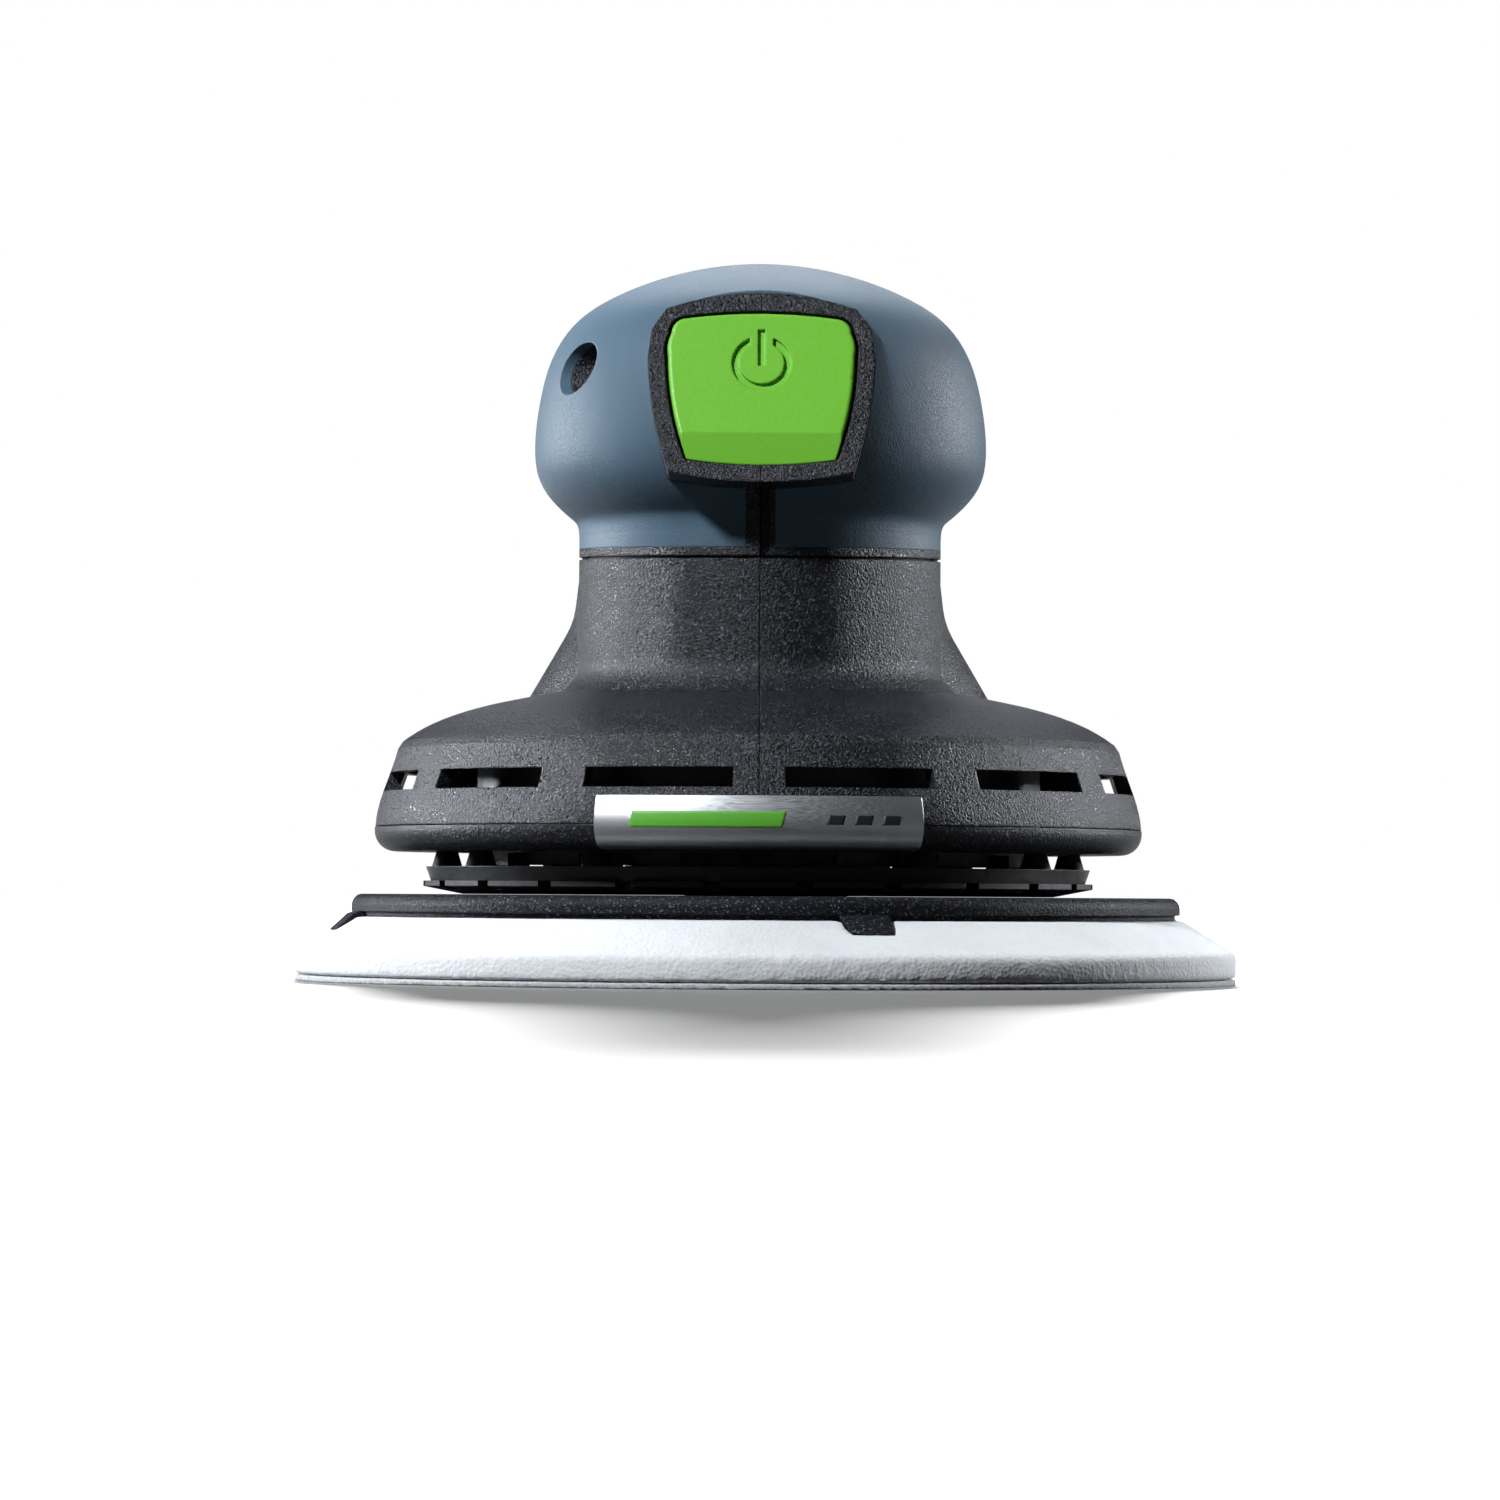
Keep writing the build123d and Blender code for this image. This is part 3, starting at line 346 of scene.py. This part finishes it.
grip_mat = soft_touch("soft_grip", SLATE)
shell_mat = grained("grained_shell", BLACK, 0.09 * MM, 0.33, 0.4)
rim_mat = grained("smooth_rim", shade(BLACK, 0.9), 0.05 * MM, 0.36, 0.3)
button_mat = plain(
    "green_button", GREEN, 0.42, grain=1800.0, depth=0.02 * MM, vary=0.05, edge=0.4 * MM
)
badge_mat = brushed("brushed_plate", SILVER, (90.0, 9000.0, 9000.0), 0.4)
rubber_mat = plain("black_rubber", (0.016, 0.016, 0.017), 0.62, grain=1500.0, depth=0.05 * MM)
carrier_mat = plain("moulded_carrier", (0.028, 0.028, 0.03), 0.4, grain=700.0, depth=0.05 * MM)
plate_mat = grained("pad_plate", shade(BLACK, 0.8), 0.05 * MM, 0.5, 0.15, 0.3 * MM)
foam_mat = foamed("pale_foam", (0.84, 0.85, 0.85))
hook_mat = hooked("hook_tape", (0.50, 0.50, 0.51))
steel_mat = brushed("ground_steel", (0.55, 0.56, 0.58), (2400.0, 2400.0, 240.0), 0.26)
bolt_mat = plain("black_steel", (0.05, 0.05, 0.055), 0.34, 1.0, 1200.0, 0.02 * MM)
ball_mat = plain("polished_steel", (0.72, 0.72, 0.74), 0.16, 1.0, 2000.0, 0.002 * MM, 0.05)
cast_mat = plain("cast_alloy", (0.46, 0.47, 0.48), 0.48, 1.0, 620.0, 0.12 * MM)
sheet_mat = brushed("laminations", (0.34, 0.35, 0.37), (60.0, 60.0, 4800.0), 0.42)
coil_mat = windings("copper_turns", (0.62, 0.25, 0.09))
magnet_mat = plain("plated_magnet", (0.40, 0.40, 0.42), 0.3, 1.0)
iron_mat = plain("zinc_iron", (0.16, 0.16, 0.17), 0.55, 1.0, 500.0, 0.15 * MM)
fan_mat = plain("filled_nylon", (0.05, 0.05, 0.055), 0.5, grain=800.0, depth=0.08 * MM)
inner_mat = plain("inner_plastic", (0.05, 0.052, 0.055), 0.45, grain=800.0, depth=0.05 * MM)
brass_mat = plain("turned_brass", (0.70, 0.50, 0.20), 0.25, 1.0)
board_mat = plain("solder_mask", (0.015, 0.11, 0.045), 0.3, grain=300.0, depth=0.02 * MM, vary=0.3)
chip_mat = plain("chip_plastic", (0.012, 0.012, 0.013), 0.5)
can_mat = plain("sleeved_can", (0.03, 0.04, 0.12), 0.25)
lead_mat = plain("lead_sleeve", (0.02, 0.02, 0.022), 0.45, grain=400.0, depth=0.05 * MM)
dial_mat = plain("green_dial", GREEN, 0.4, grain=1500.0, depth=0.03 * MM, vary=0.06)
print_mat = printed("white_print", (0.75, 0.76, 0.76), 0.5, 0.05)
mark_mat = printed("green_print", (0.10, 0.40, 0.03), 0.45, 0.05)
dash_mat = printed("black_print", (0.012, 0.012, 0.012), 0.5, 0.18)

FINISHES = {
    "grip_cover": grip_mat,
    "head_shell_left": shell_mat,
    "head_shell_right": shell_mat,
    "body_shell_left": shell_mat,
    "body_shell_right": shell_mat,
    "seam_gasket": rubber_mat,
    "skirt_rim": rim_mat,
    "front_plate": badge_mat,
    "power_button": button_mat,
    "speed_dial": dial_mat,
    "dust_port": rim_mat,
    "power_inlet": rim_mat,
    "inlet_contacts": brass_mat,
    "fan_chamber": carrier_mat,
    "extraction_fan": fan_mat,
    "motor_flange": cast_mat,
    "motor_top_bracket": cast_mat,
    "eccentric_hub": cast_mat,
    "counterweight": iron_mat,
    "stator_core": sheet_mat,
    "rotor_core": sheet_mat,
    "stator_coils": coil_mat,
    "rotor_magnets": magnet_mat,
    "cuff_carrier": carrier_mat,
    "cuff_pegs": rubber_mat,
    "brake_cuff": rubber_mat,
    "pad_plate": plate_mat,
    "control_board": board_mat,
    "board_chips": chip_mat,
    "power_module": chip_mat,
    "push_switch": chip_mat,
    "capacitors": can_mat,
    "motor_leads": lead_mat,
    "inlet_leads": lead_mat,
    "switch_carrier": inner_mat,
    "switch_plunger": inner_mat,
    "stator_terminal": inner_mat,
    "dial_bracket": inner_mat,
}
for word, finish in (("screws", bolt_mat), ("bolt", bolt_mat), ("balls", ball_mat)):
    FINISHES.update({name: finish for name in nodes if name.endswith(word)})

for name, node in nodes.items():
    finish = FINISHES.get(name, steel_mat)
    for material_slot in node.material_slots:
        material_slot.material = finish


# ---- Rebuilt pieces -----------------------------------------------------------------------------


def new_piece(name, mesh, material, body):
    """Puts a mesh in the scene as a piece of the object."""
    piece = bpy.data.objects.new(name, mesh)
    bpy.context.scene.collection.objects.link(piece)
    mesh.materials.clear()
    mesh.materials.append(material)
    for polygon in mesh.polygons:
        polygon.use_smooth = True
    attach(piece, body)
    return piece


SAME_POINT = 0.002 * MM


def remeshed(node, voxel, relax):
    """A copy of a CAD node's mesh with even faces, ready for vertex moves."""
    source = nodes[node].data.copy()
    shape = bmesh.new()
    shape.from_mesh(source)
    bmesh.ops.remove_doubles(shape, verts=shape.verts, dist=SAME_POINT)
    shape.to_mesh(source)
    shape.free()
    holder = bpy.data.objects.new("holder", source)
    bpy.context.scene.collection.objects.link(holder)
    remesh = holder.modifiers.new("even", "REMESH")
    remesh.mode = "VOXEL"
    remesh.voxel_size = voxel
    smooth = holder.modifiers.new("relax", "SMOOTH")
    smooth.factor = 0.5
    smooth.iterations = relax
    graph = bpy.context.evaluated_depsgraph_get()
    mesh = bpy.data.meshes.new_from_object(holder.evaluated_get(graph))
    bpy.data.objects.remove(holder)
    return mesh


FINE_SHARE = 0.6


def roughen(mesh, depth, pore, lump):
    """Sinks each vertex by up to depth, from two sizes of noise."""
    places = [vertex.co.copy() for vertex in mesh.vertices]
    normals = [vertex.normal.copy() for vertex in mesh.vertices]
    moved = []
    for place, normal in zip(places, normals):
        fine = 0.5 + 0.5 * noise.noise(place / pore)
        broad = 0.5 + 0.5 * noise.noise(place / lump)
        moved.extend(place - normal * depth * (FINE_SHARE * fine + (1 - FINE_SHARE) * broad))
    mesh.vertices.foreach_set("co", moved)
    mesh.update()


FOAM_VOXEL, HOOK_VOXEL = 0.62 * MM, 0.42 * MM
HOOK_REACH = 0.45 * MM  # how far the tape goes past its CAD solid, to lie level with the foam


def make_foam():
    """The foam body, with its skin's pores and slight unevenness."""
    mesh = remeshed("pad_foam", FOAM_VOXEL, relax=2)
    roughen(mesh, depth=0.16 * MM, pore=1.1 * MM, lump=7.0 * MM)
    foam = new_piece("foam_body", mesh, foam_mat, "pad")
    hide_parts("pad_foam")


def make_hook_face():
    """The hook tape, level with the foam's side, its face and cut edge a little rough."""
    mesh = remeshed("hook_layer", HOOK_VOXEL, relax=1)
    low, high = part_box("hook_layer")
    middle = (low + high) / 2
    widen = 1 + HOOK_REACH / (high.x - middle.x)
    to_middle = Matrix.Translation(middle)
    mesh.transform(to_middle @ Matrix.Diagonal((widen, widen, 1, 1)) @ to_middle.inverted())
    roughen(mesh, depth=0.14 * MM, pore=0.6 * MM, lump=3.0 * MM)
    tape = new_piece("hook_face", mesh, hook_mat, "pad")
    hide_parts("hook_layer")


def make_spring():
    """The button's return spring, copied from its CAD solid and fixed to the housing."""
    node = nodes["button_spring"]
    mesh = node.data.copy()
    mesh.transform(node.matrix_world)
    spring = new_piece("return_spring", mesh, steel_mat, "housing")
    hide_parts("button_spring")
    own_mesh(spring)


INK = 0.04 * MM  # the printed marks' thickness
MARK_STEP = 0.4 * MM  # the marks' faces are about this long
MARK_ROWS = 8
MARK_LEAN = 0.25  # along X for each step up
MARKS_FROM = 23.9 * MM  # the marks' lower edge
BAR_LEFT, BAR_RIGHT, BAR_TALL = -19.5 * MM, 3.5 * MM, 2.4 * MM
DASH_FROM, DASH_STEP, DASH_WIDE = 10.0, 4.2, 2.6 * MM  # the first two in millimetres
DASH_LOW, DASH_HIGH = 0.5 * MM, 1.9 * MM
IN_FRONT = -0.1  # a Y ahead of the whole object

plate_node = nodes["front_plate"]
plate_faces = BVHTree.FromPolygons(
    [plate_node.matrix_world @ vertex.co for vertex in plate_node.data.vertices],
    [polygon.vertices[:] for polygon in plate_node.data.polygons],
)


def plate_front(x, z):
    """Where the front plate's outside face is, along Y."""
    return plate_faces.ray_cast(Vector((x, IN_FRONT, z)), Vector((0, 1, 0)))[0].y


def printed_patch(name, x0, x1, z0, z1, material):
    """A thin, leaning printed mark that follows the front plate."""
    across, up = max(2, int((x1 - x0) / MARK_STEP)), MARK_ROWS
    shape = bmesh.new()
    layers = []
    for lift in (0.0, INK):
        grid = []
        for j in range(up + 1):
            z = z0 + (z1 - z0) * j / up
            shift = MARK_LEAN * (z - z0)
            row = []
            for i in range(across + 1):
                x = x0 + (x1 - x0) * i / across + shift
                row.append(shape.verts.new((x, plate_front(x, z) - lift, z)))
            grid.append(row)
        layers.append(grid)
    back, front = layers
    for j in range(up):
        for i in range(across):
            shape.faces.new((front[j][i], front[j][i + 1], front[j + 1][i + 1], front[j + 1][i]))
            shape.faces.new((back[j][i], back[j + 1][i], back[j + 1][i + 1], back[j][i + 1]))
    rim = [(0, i) for i in range(across)] + [(j, across) for j in range(up)]
    rim += [(up, i) for i in range(across, 0, -1)] + [(j, 0) for j in range(up, 0, -1)]
    for (j0, i0), (j1, i1) in zip(rim, rim[1:] + rim[:1]):
        shape.faces.new((front[j0][i0], back[j0][i0], back[j1][i1], front[j1][i1]))
    bmesh.ops.recalc_face_normals(shape, faces=shape.faces)
    mesh = bpy.data.meshes.new(name)
    shape.to_mesh(mesh)
    shape.free()
    new_piece(name, mesh, material, "housing")


def make_prints():
    """Plain bars in place of any mark: a long green one and three short black ones."""
    printed_patch("plate_bar", BAR_LEFT, BAR_RIGHT, MARKS_FROM, MARKS_FROM + BAR_TALL, mark_mat)
    low, high = MARKS_FROM + DASH_LOW, MARKS_FROM + DASH_HIGH
    for k in range(3):
        start = (DASH_FROM + DASH_STEP * k) * MM
        printed_patch(f"plate_dash_{k + 1}", start, start + DASH_WIDE, low, high, dash_mat)


SPEED_STEPS = 6
STEP_TURN = 45  # degrees from one number to the next
NUMBER_SIZE, NUMBER_T = 4.2 * MM, 0.12 * MM
NUMBER_SUNK = 0.1 * MM  # how far its middle lies below the dial's rim


def make_dial_numbers():
    """The speed steps, round the dial's rim."""
    for k in range(SPEED_STEPS):
        curve = bpy.data.curves.new(f"step_{k + 1}", "FONT")
        curve.body = str(k + 1)
        curve.size = NUMBER_SIZE
        curve.extrude = NUMBER_T
        curve.align_x, curve.align_y = "CENTER", "CENTER"
        holder = bpy.data.objects.new("holder", curve)
        bpy.context.scene.collection.objects.link(holder)
        graph = bpy.context.evaluated_depsgraph_get()
        mesh = bpy.data.meshes.new_from_object(holder.evaluated_get(graph))
        bpy.data.objects.remove(holder)
        angle = -math.radians(STEP_TURN * k)
        out = Vector((0, math.sin(angle), math.cos(angle)))
        along = Vector((0, math.cos(angle), -math.sin(angle)))
        turn = Matrix((Vector((-1, 0, 0)), -along, out)).transposed().to_4x4()
        mesh.transform(Matrix.Translation(DIAL_CENTRE + out * (DIAL_R - NUMBER_SUNK)) @ turn)
        new_piece(f"dial_number_{k + 1}", mesh, print_mat, "dial")


make_foam()
make_hook_face()
make_spring()
make_prints()
make_dial_numbers()


# ---- Studio -------------------------------------------------------------------------------------

FLOOR_HALF = 30.0
PAPER_WHITE = (0.92, 0.92, 0.93)  # the floor as the camera sees it
PAPER_BOUNCE = (0.14, 0.14, 0.14)  # the floor as it lights the object from below
PAPER_GLOW = 0.20
LAMP_COLOR = (0.90, 0.94, 1.0)
FILL_COLOR = (0.93, 0.97, 1.0, 1.0)
FILL_STRENGTH = 0.05
WHITE = (1.0, 1.0, 1.0, 1.0)


def make_floor():
    """A wide pale floor. Its glow, which only the camera sees, takes it to white at the horizon."""
    mesh = bpy.data.meshes.new("floor")
    signs = ((-1, -1), (1, -1), (1, 1), (-1, 1))
    mesh.from_pydata([(FLOOR_HALF * x, FLOOR_HALF * y, 0.0) for x, y in signs], [], [(0, 1, 2, 3)])
    floor = bpy.data.objects.new("floor", mesh)
    bpy.context.scene.collection.objects.link(floor)
    g = Graph("floor_paper")
    g.set(Roughness=0.9, Emission_Color=WHITE)
    seen = g.add("ShaderNodeLightPath").outputs["Is Camera Ray"]
    g.link(g.mix(seen, PAPER_BOUNCE, PAPER_WHITE), g.shader.inputs["Base Color"])
    g.link(g.times(seen, PAPER_GLOW), g.shader.inputs["Emission Strength"])
    mesh.materials.append(g.material)
    return floor


def soft_light(name, place, size, power):
    """A square or oblong soft box, aimed at the middle of the object."""
    data = bpy.data.lights.new(name, "AREA")
    data.shape = "RECTANGLE"
    data.size, data.size_y = size
    data.energy = power
    data.color = LAMP_COLOR
    light = bpy.data.objects.new(name, data)
    bpy.context.scene.collection.objects.link(light)
    light.location = place
    gaze = Vector((0, 0, HEIGHT / 2)) - light.location
    light.rotation_euler = gaze.to_track_quat("-Z", "Y").to_euler()
    return light


def make_world():
    """White paper all round as the camera sees it, but only a weak fill light on the object."""
    world = bpy.data.worlds.new("studio")
    world.use_nodes = True
    tree = world.node_tree
    fill = tree.nodes["Background"]
    paper = tree.nodes.new("ShaderNodeBackground")
    rays = tree.nodes.new("ShaderNodeLightPath")
    either = tree.nodes.new("ShaderNodeMixShader")
    fill.inputs["Color"].default_value = FILL_COLOR
    fill.inputs["Strength"].default_value = FILL_STRENGTH
    paper.inputs["Color"].default_value = WHITE
    tree.links.new(rays.outputs["Is Camera Ray"], either.inputs["Fac"])
    tree.links.new(fill.outputs["Background"], either.inputs[1])
    tree.links.new(paper.outputs["Background"], either.inputs[2])
    tree.links.new(either.outputs["Shader"], tree.nodes["World Output"].inputs["Surface"])
    bpy.context.scene.world = world


def distant(name, power, softness, turn):
    """A broad light from far off, the same everywhere; softness and turn are in degrees."""
    data = bpy.data.lights.new(name, "SUN")
    data.energy = power
    data.angle = math.radians(softness)
    light = bpy.data.objects.new(name, data)
    bpy.context.scene.collection.objects.link(light)
    light.rotation_euler = [math.radians(angle) for angle in turn]
    return light


def link_light(light, floor, state):
    """Keeps a light to the floor alone (INCLUDE) or to all but the floor (EXCLUDE)."""
    lit = bpy.data.collections.new(light.name + "_lit")
    lit.objects.link(floor)
    lit.collection_objects[0].light_linking.link_state = state
    light.light_linking.receiver_collection = lit


def make_studio(floor):
    """A weak fill, a key from the upper left, a box behind, side strips and a broad overhead.

    A low light from behind falls on the floor alone and throws the object's soft shadow forward.
    """
    make_world()
    bpy.context.scene.view_settings.view_transform = "Standard"
    on_object = [
        soft_light("key", place=(-0.50, -0.50, 0.60), size=(0.10, 0.10), power=10.0),
        soft_light("crown", place=(0.0, 0.50, 0.66), size=(0.40, 0.30), power=3.8),
        soft_light("right_strip", place=(0.58, 0.24, 0.20), size=(0.12, 0.22), power=4.0),
        soft_light("left_strip", place=(-0.60, 0.26, 0.16), size=(0.10, 0.18), power=5.0),
        distant("overhead", power=0.3, softness=50, turn=(-8, -14, 0)),
    ]
    for light in on_object:
        link_light(light, floor, "EXCLUDE")
    paper_light = distant("paper_light", power=13.4, softness=14, turn=(-79, 0, 0))
    link_light(paper_light, floor, "INCLUDE")


make_studio(make_floor())
